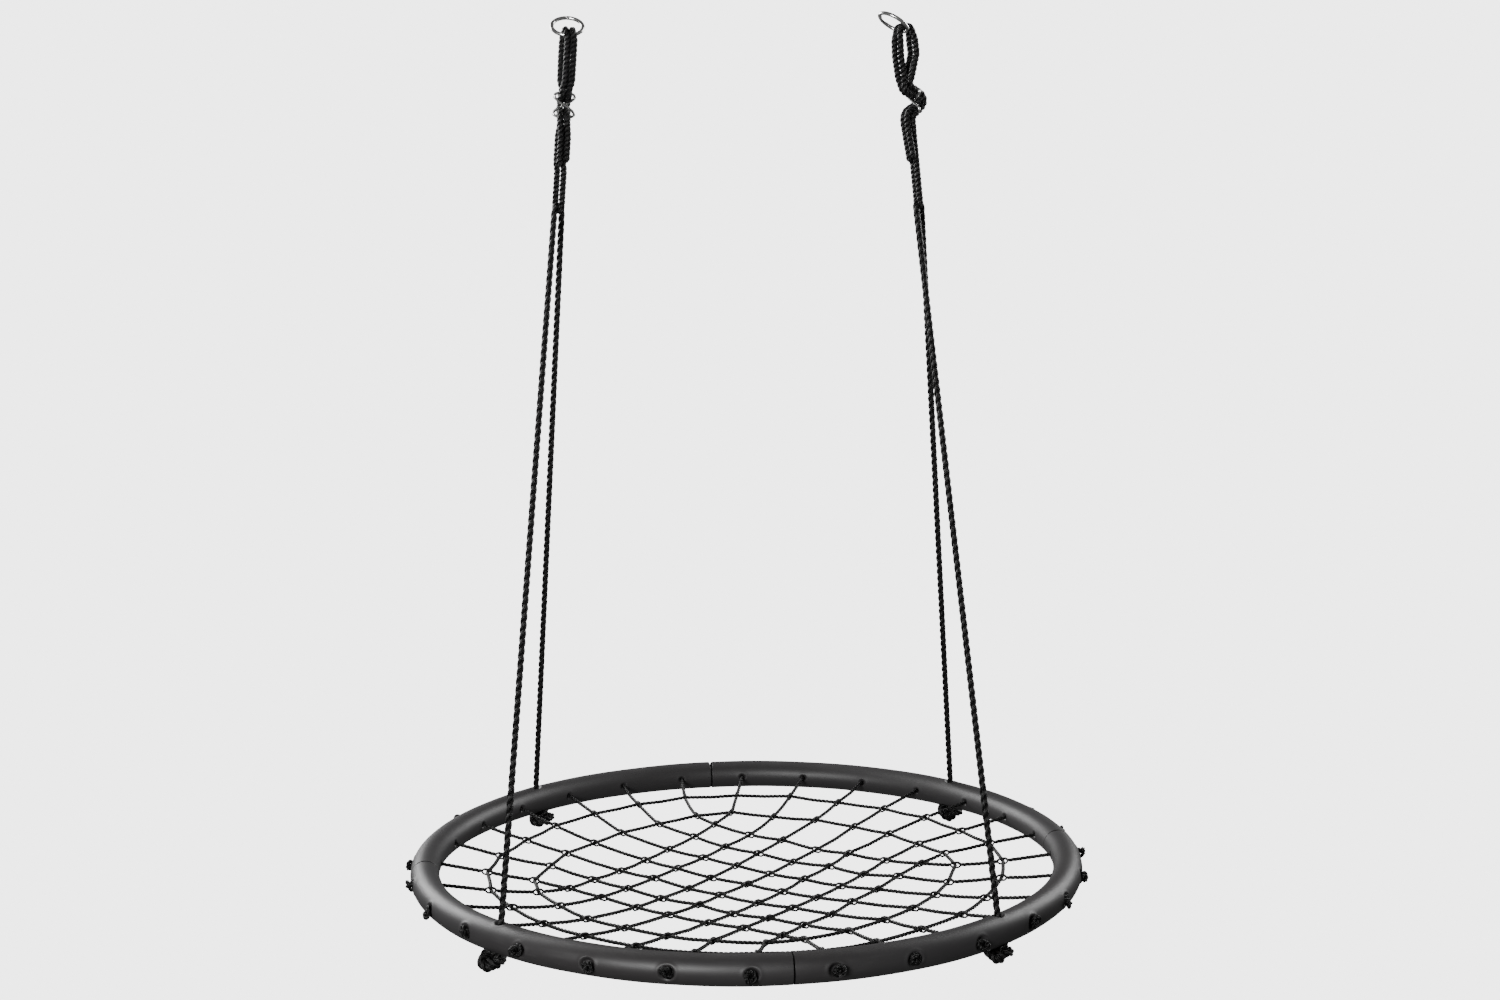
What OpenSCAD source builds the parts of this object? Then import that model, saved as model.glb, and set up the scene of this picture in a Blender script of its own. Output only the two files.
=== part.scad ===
/* [Seat ring] */
// Outside diameter of the padded ring
ring_d = 1000; // [940:10:1060]
// Diameter of the foam sleeves
foam_d = 43; // [41:1:48]
// Outside diameter of the steel ring tube
tube_d = 32; // [30:1:34]
// Wall of the steel ring tube
tube_wall = 2; // [1.5:0.5:2.5]
// Length of the sleeve that joins two quarter tubes
joiner_len = 80; // [60:5:90]
// Drop from the hanging line to the middle of the ring tube
seat_drop = 1218; // [1000:1:1400]

/* [Net] */
// Diameter of the net rope
net_rope_d = 6; // [5:0.5:7]
// Pitch of the square grid in the middle of the net
net_pitch = 63.5; // [60:0.5:66]
// Turn of the square grid against the holes in the ring
net_twist = 3.1; // [0:0.1:4]
// Radius of the outer ring rope halfway between two grid corners
outer_ring_r = 376; // [370:1:385]
// Extra radius of the outer ring rope opposite a grid corner
outer_ring_swell = 12; // [8:1:16]
// Turn of the outer ring rope's crossings against the holes
outer_ring_twist = 1.3; // [0:0.1:2]
// Radius of the inner ring rope halfway between two grid corners
inner_ring_r = 295; // [290:1:300]
// Extra radius of the inner ring rope opposite a grid corner
inner_ring_swell = 20; // [15:1:22]
// Turn of the inner ring rope's crossings against the holes
inner_ring_twist = 2.4; // [0:0.1:3]
// Extra turn of the inner crossings beside a grid corner
inner_ring_pinch = 1.3; // [0:0.1:2]
// Sag of the net in the middle
net_sag = 40; // [10:1:60]
// Diameter of the knot at each end of a net rope
net_knot_d = 21; // [18:1:22]
// Thickness of that knot
net_knot_h = 14.5; // [12:0.5:16]

/* [Hanging ropes] */
// Diameter of the long main ropes
main_rope_d = 10; // [8:0.5:11]
// Diameter of the short sling ropes
sling_rope_d = 9.8; // [9:0.2:10]
// Distance between the two hanging rings
hang_spacing = 477.4; // [440:1:500]
// Drop from the hanging line to where sling and main rope link
link_drop = 240; // [225:1:300]
// Drop from the hanging line to the middle of the adjusters
adjuster_drop = 98; // [90:1:105]
// Drop from the hanging line to the cut ends of the sling
tail_drop = 182; // [160:1:190]
// Diameter of the stopper knots under the ring
stopper_knot_d = 38; // [34:1:42]

/* [Metal fittings] */
// Outside diameter of the welded hanging rings
hang_ring_d = 50; // [46:1:54]
// Wire of the hanging rings
hang_wire_d = 5.5; // [5:0.5:6]
// Lean of the hanging rings from upright
hang_lean = 55; // [40:1:60]
// Height of the figure-eight adjusters
adjuster_h = 39; // [36:1:42]
// Width of the figure-eight adjusters
adjuster_w = 33.4; // [32:0.2:36]
// Wire of the adjusters
adjuster_wire_d = 4; // [3.5:0.5:4.5]
// Turn of the left sling about its own length
turn_left = 8; // [0:1:20]
// Turn of the right sling about its own length
turn_right = -60; // [-70:1:-40]

/* [Hidden] */

// Colours
steel_colour = "silver";
foam_colour = [0.13, 0.13, 0.14];
rope_colour = [0.07, 0.07, 0.07];

// The seat ring: a steel tube in four quarters inside four foam sleeves
foam_r = foam_d / 2;
tube_r = tube_d / 2;
ring_r = ring_d / 2 - foam_r;
bore_r = tube_r - tube_wall;
foam_bore_r = tube_r + 0.2;
joiner_r = bore_r - 0.1;
joiner_wall = 2;
seam_gap = 0.4;
quarter = 90;
rope_hole_angle = 45;
net_hole_r = net_rope_d / 2 + 0.5;
rope_hole_r = main_rope_d / 2 + 0.5;
rivet_r = 2.4;
rivet_spread = 20;
knot_seat_depth = 5.2;

// The net: grid_n ropes each way, so each quarter of the ring has grid_n holes
grid_n = 7;
hole_count = 4 * grid_n;
hole_step = 360 / hole_count;
seam_angle = hole_step / 2;
half_grid = (grid_n - 1) / 2;
side_normal = seam_angle + quarter / 2;
net_hole_at = ring_r - foam_r;
knot_r = net_knot_d / 2;
knot_seat = ring_r + foam_r - knot_seat_depth;

// The hanging ropes: each side hangs in one leaning plane
hole_xy = ring_r * sin(45);
rope_end_gap = 3;
rope_end_drop = seat_drop - foam_r - rope_end_gap;
lean = atan((hole_xy - hang_spacing / 2) / rope_end_drop);
main_r = main_rope_d / 2;
sling_r = sling_rope_d / 2;
bight_r = main_r + sling_r + 0.7;
wire_r = hang_wire_d / 2;
hang_bend_r = wire_r + sling_r + 0.4;
adj_wire_r = adjuster_wire_d / 2;
// Offset of the adjuster plane, and of the two rope layers from that plane
adj_y = 6;
layer_in = adj_wire_r + sling_r + 0.4;
layer_out = layer_in + sling_rope_d;
weave_half = adjuster_h / 2 + 6;
weave_gap = 0.5;

// Vectors and frames for the rope sweeps
function unit(v) = v / norm(v);
function turned(p, a) = [p.x * cos(a) - p.y * sin(a), p.x * sin(a) + p.y * cos(a), p.z];
function polar(r, a, z = 0) = [r * cos(a), r * sin(a), z];
function tangent(path, i, closed) =
    let (n = len(path))
    closed ? unit(path[(i + 1) % n] - path[(i + n - 1) % n])
           : unit(path[min(i + 1, n - 1)] - path[max(i - 1, 0)]);
function across(v, t) = unit(v - (v * t) * t);
function frames(path, closed, i, last, found) =
    i == len(path) ? found :
    let (u = across(last, tangent(path, i, closed)))
    frames(path, closed, i + 1, u, concat(found, [u]));

// Rope: rings of points with half widths wide and deep, along a path
module rope(path, wide, deep, start, closed = false, sides = 8) {
    n = len(path);
    u = frames(path, closed, 0, start, []);
    points = [for (i = [0 : n - 1])
        let (b = cross(tangent(path, i, closed), u[i]))
        for (k = [0 : sides - 1])
            let (a = 360 * (k + 0.5) / sides)
            path[i] + wide[i] * cos(a) * u[i] + deep[i] * sin(a) * b];
    skin = [for (i = [0 : n - (closed ? 1 : 2)], k = [0 : sides - 1])
        let (j = (i + 1) % n, m = (k + 1) % sides)
        [i * sides + k, j * sides + k, j * sides + m, i * sides + m]];
    ends = closed ? [] : [
        [for (k = [0 : sides - 1]) k],
        [for (k = [sides - 1 : -1 : 0]) (n - 1) * sides + k]];
    polyhedron(points, concat(skin, ends), convexity = 6);
}
module round_rope(path, r, start, closed = false) {
    radii = [for (p = path) r];
    rope(path, radii, radii, start, closed);
}

// Ring tube: one quarter from seam to seam
module quarter_tube(k, outer_r, inner_r) {
    gap_angle = seam_gap / ring_r * 180 / PI;
    rotate([0, 0, seam_angle + quarter * k + gap_angle / 2])
        rotate_extrude(angle = quarter - gap_angle, $fn = 120)
            translate([ring_r, 0])
                difference() {
                    circle(r = outer_r, $fn = 48);
                    circle(r = inner_r, $fn = 48);
                }
}
module radial_drill(angle, r, from, to) {
    rotate([0, 0, angle])
        translate([from, 0, 0])
            rotate([0, 90, 0])
                cylinder(r = r, h = to - from, $fn = 32);
}
module net_drills(k, r) {
    for (j = [1 : grid_n])
        radial_drill(hole_step * (grid_n * k + j), r, net_hole_at - 5, ring_r + foam_r + 5);
}
module rope_drill(k, r) {
    translate(polar(ring_r, rope_hole_angle + quarter * k, -foam_r - 5))
        cylinder(r = r, h = foam_d + 10, $fn = 32);
}
module rivet_row(r, from, to) {
    spread = rivet_spread / ring_r * 180 / PI;
    for (k = [0 : 3], side = [-1, 1])
        radial_drill(seam_angle + quarter * k + side * spread, r, from, to);
}
module at_seat() {
    translate([0, 0, -seat_drop]) children();
}
module ring_tube(k) {
    color(steel_colour) at_seat() difference() {
        quarter_tube(k, tube_r, bore_r);
        net_drills(k, net_hole_r);
        rope_drill(k, rope_hole_r);
        rivet_row(rivet_r + 0.05, ring_r - tube_r - 1, ring_r);
    }
}
module tube_joiner(k) {
    span = joiner_len / ring_r * 180 / PI;
    color(steel_colour) at_seat() difference() {
        rotate([0, 0, seam_angle + quarter * k - span / 2])
            rotate_extrude(angle = span, $fn = 120)
                translate([ring_r, 0])
                    difference() {
                        circle(r = joiner_r, $fn = 48);
                        circle(r = joiner_r - joiner_wall, $fn = 48);
                    }
        rivet_row(rivet_r + 0.05, ring_r - tube_r - 1, ring_r);
    }
}
module joiner_rivets() {
    color(steel_colour) at_seat()
        rivet_row(rivet_r, ring_r - tube_r + 0.1, ring_r - joiner_r + joiner_wall + 0.4);
}
module foam_sleeve(k) {
    color(foam_colour) at_seat() difference() {
        quarter_tube(k, foam_r, foam_bore_r);
        net_drills(k, net_hole_r);
        rope_drill(k, rope_hole_r);
        for (j = [1 : grid_n])
            radial_drill(hole_step * (grid_n * k + j), knot_r + 1, knot_seat, ring_r + foam_r + 5);
    }
}

// Net: points where ropes cross, hung in a shallow bowl
function sag_at(p) = -net_sag * (1 - pow(norm([p.x, p.y]) / net_hole_at, 2));
function hung(p) = [p.x, p.y, sag_at(p)];
function hole_point(i, r = net_hole_at) = polar(r, hole_step * i);
function side_of(i) = floor((i - 1) / grid_n);
function place_in_side(i) = (i - 1) % grid_n;
function grid_point(u, v, q) =
    turned([u * net_pitch, v * net_pitch, 0], side_normal + net_twist - 90 + quarter * q);
function edge_point(i) = grid_point(half_grid - place_in_side(i), half_grid, side_of(i));
// How far rope i is from the middle of its side, from -1 to 1
function off_middle(i) = (place_in_side(i) - half_grid) / half_grid;
function outer_node(i) =
    let (f = off_middle(i))
    hung(polar(outer_ring_r + outer_ring_swell * f * f, hole_step * i + outer_ring_twist));
function inner_node(i) =
    let (f = off_middle(i), a = inner_ring_twist + inner_ring_pinch * f)
    hung(polar(inner_ring_r + inner_ring_swell * f * f, hole_step * i + a));
function end_profile() = [
    // distance out from the knot's seat, and radius there
    [net_knot_h + 2, net_rope_d / 2],
    [net_knot_h + 0.3, net_rope_d / 2],
    [net_knot_h - 0.3, knot_r * 0.55],
    [net_knot_h * 0.72, knot_r * 0.93],
    [net_knot_h * 0.35, knot_r],
    [0.4, knot_r * 0.7],
    [0.2, net_rope_d / 2]
];
function knot_end(i) = [for (e = end_profile()) hole_point(i, knot_seat + e[0])];
function reversed(v) = [for (i = [len(v) - 1 : -1 : 0]) v[i]];
function half_route(i) =
    concat(knot_end(i), [hole_point(i), outer_node(i), inner_node(i)]);

// Net rope from hole i across the grid to hole j
module net_rope(i, j) {
    q = side_of(i);
    u = half_grid - place_in_side(i);
    middle = [for (v = [half_grid : -1 : -half_grid]) hung(grid_point(u, v, q))];
    path = concat(half_route(i), middle, reversed(half_route(j)));
    ends = [for (e = end_profile()) e[1]];
    plain = [for (n = [1 : len(path) - 2 * len(ends)]) net_rope_d / 2];
    radii = concat(ends, plain, reversed(ends));
    color(rope_colour) at_seat() rope(path, radii, radii, [0, 0, 1]);
}
module net_rope_a(m) { net_rope(m, 3 * grid_n + 1 - m); }
module net_rope_b(m) { net_rope(grid_n + m, 4 * grid_n + 1 - m); }
module net_ring_rope(points) {
    color(rope_colour) at_seat() round_rope(points, net_rope_d / 2, [0, 0, 1], true);
}
module net_ring_rope_outer() { net_ring_rope([for (i = [1 : hole_count]) outer_node(i)]); }
module net_ring_rope_inner() { net_ring_rope([for (i = [1 : hole_count]) inner_node(i)]); }

// Stopper knot under the ring, with the end of the main rope up the hole above it
module stopper_knot(k) {
    bulge = stopper_knot_d / 2 - 4;
    color(rope_colour) at_seat()
        translate(polar(ring_r, rope_hole_angle + quarter * k)) {
            translate([0, 0, -foam_r - 0.3 - bulge])
                rotate_extrude($fn = 48)
                    intersection() {
                        translate([4, 0]) circle(r = bulge, $fn = 48);
                        translate([0, -bulge - 1]) square([stopper_knot_d, 2 * bulge + 2]);
                    }
            translate([0, 0, -foam_r - 2]) cylinder(r = main_r, h = foam_d + 1.4, $fn = 32);
        }
}

// Leaning frame of one side: x across, y front to back, z down the ropes
module on_side(s) {
    translate([s * hang_spacing / 2, 0, 0])
        rotate([0, -s * lean, 0])
            children();
}
function along(drop) = drop / cos(lean);
function arc(r, from, to, steps) =
    [for (i = [0 : steps]) let (a = from + (to - from) * i / steps) [0, r * sin(a), r * cos(a)]];

// Main rope: up from one hole, over the sling's bight, down to the other hole
module main_rope(s) {
    link = along(link_drop);
    end = [0, hole_xy, -along(rope_end_drop)];
    spread = atan((hole_xy - bight_r) / (along(rope_end_drop) - link));
    bight = [for (p = arc(bight_r, spread - 90, 90 - spread, 8)) p + [0, 0, -link - bight_r]];
    front = bight[0];
    steps = 12;
    leg = [for (i = [0 : steps - 1]) let (f = i / steps) [0, -end.y, end.z] * (1 - f) + front * f];
    back = [for (p = reversed(leg)) [p.x, -p.y, p.z]];
    color(rope_colour) on_side(s)
        round_rope(concat(leg, bight, back), main_r, [1, 0, 0]);
}

// Sling legs: two strands from the adjuster, round the bight that holds the main rope
module sling_legs(s, turn) {
    link = along(link_drop);
    top = along(adjuster_drop) + weave_half + weave_gap;
    open = along(tail_drop) + 4;
    shift = turned([0, adj_y - layer_in, 0], turn);
    bight = [for (p = arc(bight_r, 180 - 90, 180 + 90, 8)) [p.y, 0, p.z - link]];
    right = [
        turned([sling_r, 0, 0], turn) + shift + [0, 0, -top],
        turned([sling_r, 0, 0], turn) + shift + [0, 0, -open],
        [sling_r + 3, 0, -link + 30]
    ];
    left = [
        [-sling_r - 3, 0, -link + 30],
        turned([-sling_r, 0, 0], turn) + shift + [0, 0, -open],
        turned([-sling_r, 0, 0], turn) + shift + [0, 0, -top]
    ];
    color(rope_colour) on_side(s)
        round_rope(concat(right, bight, left), sling_r - 0.1, [0, 1, 0]);
}

// Sling through the adjuster: both layers round its crossing, and the cut tails below it
module sling_weave(s, turn) {
    mid = (layer_in + layer_out) / 2;
    path = [
        [0, adj_y - mid, weave_half],
        [0, adj_y - mid, adjuster_h / 2 + 1],
        [0, adj_y - mid * 0.75, adjuster_h / 2 - 4.5],
        [0, adj_y + mid * 0.8, 5],
        [0, adj_y + mid, 0],
        [0, adj_y + mid * 0.8, -5],
        [0, adj_y - mid * 0.75, 4.5 - adjuster_h / 2],
        [0, adj_y - mid, -adjuster_h / 2 - 1],
        [0, adj_y - mid, -weave_half]
    ];
    tails = [
        [0, adj_y - layer_out - 0.5, -weave_half],
        [0, adj_y - layer_out - 0.5, adjuster_drop - tail_drop]
    ];
    color(rope_colour) on_side(s)
        translate([0, 0, -along(adjuster_drop)]) rotate([0, 0, turn]) {
            rope(path, [for (p = path) sling_rope_d], [for (p = path) sling_rope_d * 0.55], [1, 0, 0]);
            rope(tails, [for (p = tails) sling_rope_d], [for (p = tails) sling_r], [1, 0, 0]);
        }
}

// Sling loop: both strands from the adjuster up over the hanging ring and back down
module sling_loop(s, turn) {
    foot = weave_half + weave_gap - along(adjuster_drop);
    shoulder = -22;
    path = concat(
        [[0, adj_y - layer_out, foot], [0, -hang_bend_r - 3, shoulder]],
        arc(hang_bend_r, -90, 90, 8),
        [[0, hang_bend_r + 1, shoulder], [0, adj_y - layer_in, foot]]
    );
    color(rope_colour) on_side(s) rotate([0, 0, turn])
        rope(path, [for (p = path) sling_rope_d], [for (p = path) sling_r - 0.1], [1, 0, 0]);
}

// Figure-eight adjuster bent from wire
module adjuster(s, turn) {
    steps = 48;
    reach = adjuster_h / 2 - adj_wire_r;
    side = adjuster_w / 2 - adj_wire_r;
    path = [for (i = [0 : steps - 1]) let (a = 360 * i / steps)
        [side * sin(2 * a), (adj_wire_r + 0.1) * cos(a), reach * sin(a)]];
    color(steel_colour) on_side(s)
        translate([0, 0, -along(adjuster_drop)]) rotate([0, 0, turn]) translate([0, adj_y, 0])
            round_rope(path, adj_wire_r, [0, 1, 0], true);
}

// Welded hanging ring: its lowest wire lies on the hanging line
module hang_ring(s, turn) {
    r = hang_ring_d / 2 - wire_r;
    color(steel_colour) translate([s * hang_spacing / 2, 0, 0]) rotate([0, 0, turn])
        rotate([90 - hang_lean, 0, 0]) translate([0, r, 0])
            rotate_extrude($fn = 64) translate([r, 0]) circle(r = wire_r, $fn = 24);
}

ring_tube(0);  // ring_tube_1
ring_tube(1);  // ring_tube_2
ring_tube(2);  // ring_tube_3
ring_tube(3);  // ring_tube_4
tube_joiner(0);  // tube_joiner_1
tube_joiner(1);  // tube_joiner_2
tube_joiner(2);  // tube_joiner_3
tube_joiner(3);  // tube_joiner_4
joiner_rivets();
foam_sleeve(0);  // foam_sleeve_1
foam_sleeve(1);  // foam_sleeve_2
foam_sleeve(2);  // foam_sleeve_3
foam_sleeve(3);  // foam_sleeve_4
net_rope_a(1);  // net_rope_a1
net_rope_a(2);  // net_rope_a2
net_rope_a(3);  // net_rope_a3
net_rope_a(4);  // net_rope_a4
net_rope_a(5);  // net_rope_a5
net_rope_a(6);  // net_rope_a6
net_rope_a(7);  // net_rope_a7
net_rope_b(1);  // net_rope_b1
net_rope_b(2);  // net_rope_b2
net_rope_b(3);  // net_rope_b3
net_rope_b(4);  // net_rope_b4
net_rope_b(5);  // net_rope_b5
net_rope_b(6);  // net_rope_b6
net_rope_b(7);  // net_rope_b7
net_ring_rope_outer();
net_ring_rope_inner();
stopper_knot(0);  // stopper_knot_1
stopper_knot(1);  // stopper_knot_2
stopper_knot(2);  // stopper_knot_3
stopper_knot(3);  // stopper_knot_4
main_rope(-1);  // main_rope_left
main_rope(1);  // main_rope_right
sling_legs(-1, turn_left);  // sling_legs_left
sling_legs(1, turn_right);  // sling_legs_right
sling_weave(-1, turn_left);  // sling_weave_left
sling_weave(1, turn_right);  // sling_weave_right
sling_loop(-1, turn_left);  // sling_loop_left
sling_loop(1, turn_right);  // sling_loop_right
adjuster(-1, turn_left);  // adjuster_left
adjuster(1, turn_right);  // adjuster_right
hang_ring(-1, turn_left);  // hang_ring_left
hang_ring(1, turn_right + 180);  // hang_ring_right
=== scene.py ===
import math

import bpy
import bmesh
import numpy as np
from mathutils import Matrix, Vector


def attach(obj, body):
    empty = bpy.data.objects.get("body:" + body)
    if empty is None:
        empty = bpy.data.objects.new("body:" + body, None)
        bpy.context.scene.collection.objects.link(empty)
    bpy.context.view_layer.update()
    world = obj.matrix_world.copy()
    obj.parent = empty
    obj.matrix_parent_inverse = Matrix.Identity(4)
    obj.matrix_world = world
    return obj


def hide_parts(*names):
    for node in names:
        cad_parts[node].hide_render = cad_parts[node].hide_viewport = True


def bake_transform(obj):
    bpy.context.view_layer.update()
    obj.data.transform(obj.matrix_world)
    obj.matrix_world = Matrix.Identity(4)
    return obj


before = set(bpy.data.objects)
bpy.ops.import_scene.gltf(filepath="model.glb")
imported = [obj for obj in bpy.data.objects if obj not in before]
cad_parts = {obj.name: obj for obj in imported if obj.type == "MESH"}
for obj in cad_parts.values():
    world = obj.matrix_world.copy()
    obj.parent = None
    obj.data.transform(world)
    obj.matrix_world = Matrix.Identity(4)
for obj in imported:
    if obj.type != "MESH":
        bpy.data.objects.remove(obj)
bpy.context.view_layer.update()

MM = 0.001
WELD_M = 0.00002

# ---------------------------------------------------------------- sizes, in millimetres, as in the CAD
# the seat's drop below the hanging line, then the radii of the foam's section, the ring and the foam's bore
SEAT_DROP = 1218.0
FOAM_R = 21.5
RING_R = 478.5
BORE_R = 16.2
# the net: its rope and that rope's lay, the spacing and turn of the square grid, and the two ring ropes
NET_D, NET_PITCH = 6.0, 21.0
GRID_PITCH = 63.5
NET_TWIST = 3.1
OUTER_R, OUTER_SWELL, OUTER_TWIST = 376.0, 12.0, 1.3
INNER_R, INNER_SWELL, INNER_TWIST, INNER_PINCH = 295.0, 20.0, 2.4, 1.3
SAG = 40.0
NET_HOLE_AT = 457.0
HOLES = 28
HOLE_STEP = 360.0 / HOLES
SEAM = HOLE_STEP / 2
SLEEVE_RUN = math.radians(90) * RING_R
KNOT_SEAT = RING_R + FOAM_R - 5.2
# the hanging ropes: their thickness and the length of one turn of the lay, then how far apart they hang and
# the drops of link, adjuster and tails below the hanging line
MAIN_D, MAIN_PITCH = 10.0, 36.0
SLING_D, SLING_PITCH = 9.8, 20.5
HANG_SPACING = 477.4
LINK_DROP = 240.0
ADJ_DROP = 98.0
TAIL_DROP = 182.0
# the hanging rings, and the adjusters
HANG_RING_D = 50.0
HANG_WIRE_D = 5.5
HANG_LEAN = 55.0
ADJ_H = 39.0
ADJ_W = 33.4
ADJ_WIRE_D = 4.0
ADJ_Y = 6.0
# each side is -1 for left and 1 for right, with its own turn of the sling and of the hanging ring
SIDE = {-1: "left", 1: "right"}
TURN = {-1: 8.0, 1: -60.0}
RING_TURN = {-1: 8.0, 1: 120.0}
# how far the sling's bight, and the main rope's bight in it, have turned about the rope
LINK_TURN = {-1: -48.0, 1: -75.0}
BIGHT_TURN = {-1: -38.0, 1: -35.0}
# radius of the middle line of each of those two bights
SNUG_R = 7.8
# how far the back layer of the sling lies to one side of the front layer
FAN = {-1: -6.5, 1: 0.0}
# how far one strand of each layer lies behind the other
SPREAD = {-1: 0.0, 1: 2.0}
# how much wider the sling's loop is than its bend, near the ring and at its widest, and how low that is
SPLAY = {-1: (0.8, 2.2, -24.0), 1: (4.2, 5.2, -32.0)}
# how far the tails have turned in front of the legs
TUCK = {-1: 0.0, 1: 7.5}
# how far the main ropes' holes are from the seat's middle in x and in y
HOLE_XY = RING_R * math.sin(math.radians(45))
ROPE_END_DROP = SEAT_DROP - FOAM_R - 3
LEAN = math.atan((HOLE_XY - HANG_SPACING / 2) / ROPE_END_DROP)
HANG_BEND_R = HANG_WIRE_D / 2 + SLING_D / 2 + 0.4
LAYER_IN = ADJ_WIRE_D / 2 + SLING_D / 2 + 0.4
LAYER_OUT = LAYER_IN + SLING_D


def along(drop):
    """The length down the leaning ropes that gives this drop."""
    return drop / math.cos(LEAN)


# ---------------------------------------------------------------- small geometry helpers
def unit(v):
    v = np.asarray(v, float)
    return v / np.maximum(np.linalg.norm(v, axis=-1, keepdims=True), 1e-12)


def smooth(x):
    x = np.clip(x, 0, 1)
    return x * x * (3 - 2 * x)


def lengths(path, closed=False):
    step = np.diff(np.vstack([path, path[:1]]) if closed else path, axis=0)
    return np.r_[0, np.cumsum(np.linalg.norm(step, axis=1))]


def resample(path, step, closed=False):
    path = np.asarray(path, float)
    s = lengths(path, closed)
    full = np.vstack([path, path[:1]]) if closed else path
    n = max(2, int(round(s[-1] / step)))
    u = np.linspace(0, s[-1], n + 1)
    if closed:
        u = u[:-1]
    return np.stack([np.interp(u, s, full[:, k]) for k in range(3)], 1)


def soften(path, step, reach, closed=False):
    """The path drawn finely, with its corners rounded over about reach on each side."""
    fine = resample(path, step, closed)
    half = max(1, int(round(1.5 * reach / step)))
    k = np.exp(-0.5 * (np.arange(-half, half + 1) * step / (0.5 * reach)) ** 2)
    k /= k.sum()
    if closed:
        padded = np.vstack([fine[-half:], fine, fine[:half]])
    else:
        before = 2 * fine[0] - fine[half:0:-1]
        after = 2 * fine[-1] - fine[-2:-half - 2:-1]
        padded = np.vstack([before, fine, after])
    return np.stack([np.convolve(padded[:, i], k, "valid") for i in range(3)], 1)


def tangents(path, closed=False):
    if closed:
        return unit(np.roll(path, -1, 0) - np.roll(path, 1, 0))
    return unit(np.gradient(path, axis=0))


def carried_frames(path, start, closed=False):
    """Side vectors that turn as little as they can along the path."""
    t = tangents(path, closed)
    u = np.empty_like(path)
    last = np.asarray(start, float)
    for i in range(len(path)):
        last = last - t[i] * (last @ t[i])
        last /= np.linalg.norm(last)
        u[i] = last
    if closed:
        end = u[-1] - t[0] * (u[-1] @ t[0])
        miss = math.atan2(np.cross(end, u[0]) @ t[0], end @ u[0])
        a = miss * np.linspace(0, 1, len(path))[:, None]
        u = u * np.cos(a) + np.cross(t, u) * np.sin(a)
    return t, u, np.cross(t, u)


class Mesh:
    """Collects vertices, faces and a running coordinate for each face corner."""

    def __init__(self):
        self.v, self.f, self.uv, self.n = [], [], [], 0

    def grid(self, rows, u, v, closed_rows=False):
        """rows is an array of rings of points; u runs along the rows and v round a ring."""
        n, m = rows.shape[:2]
        i = np.arange(n if closed_rows else n - 1)
        j = np.arange(m)
        i, j = [x.ravel() for x in np.meshgrid(i, j, indexing="ij")]
        i2, j2 = (i + 1) % n, (j + 1) % m
        self.f.append(self.n + np.stack([i * m + j, i2 * m + j, i2 * m + j2, i * m + j2], 1))
        du = np.r_[u, u[-1] + (u[1] - u[0])]
        dv = np.r_[v, v[-1] + (v[1] - v[0])]
        self.uv.append(np.stack([
            np.stack([du[i], dv[j]], 1), np.stack([du[i + 1], dv[j]], 1),
            np.stack([du[i + 1], dv[j + 1]], 1), np.stack([du[i], dv[j + 1]], 1)], 1))
        self.v.append(rows.reshape(-1, 3))
        self.n += n * m

    def cap(self, ring, centre, u, flip):
        """A fan that closes a ring of points."""
        m = len(ring)
        j = np.arange(m)
        tri = np.stack([j, (j + 1) % m, np.full(m, m)], 1)
        if flip:
            tri = tri[:, ::-1]
        self.f.append(self.n + tri)
        self.uv.append(np.tile(np.array([u, 0.0]), (m, 3, 1)))
        self.v.append(np.vstack([ring, centre]))
        self.n += m + 1

    def make(self, name):
        v = np.vstack(self.v) * MM
        faces = [row for block in self.f for row in block.tolist()]
        mesh = bpy.data.meshes.new(name)
        mesh.from_pydata(v.tolist(), [], faces)
        uv = np.vstack([b.reshape(-1, 2) for b in self.uv])
        layer = mesh.uv_layers.new(name="run")
        layer.data.foreach_set("uv", uv.astype(np.float32).ravel())
        mesh.polygons.foreach_set("use_smooth", [True] * len(faces))
        mesh.update()
        obj = bpy.data.objects.new(name, mesh)
        bpy.context.scene.collection.objects.link(obj)
        return obj


def weld(obj):
    """Joins the rims of grids that meet, and turns every face outwards."""
    b = bmesh.new()
    b.from_mesh(obj.data)
    bmesh.ops.remove_doubles(b, verts=b.verts, dist=WELD_M)
    bmesh.ops.recalc_face_normals(b, faces=b.faces)
    b.to_mesh(obj.data)
    b.free()
    return obj


# ---------------------------------------------------------------- rope
# a strand's distance from the rope's middle and its own radius, as shares of the rope's thickness
STRAND_AT = 0.255
STRAND_R = 0.25
# where another rope passes through: how far the strands part up, down and sideways, and over what length
PART_UP, PART_DOWN, PART_SIDE, PART_REACH = 0.62, 0.66, 0.25, 1.75


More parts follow.
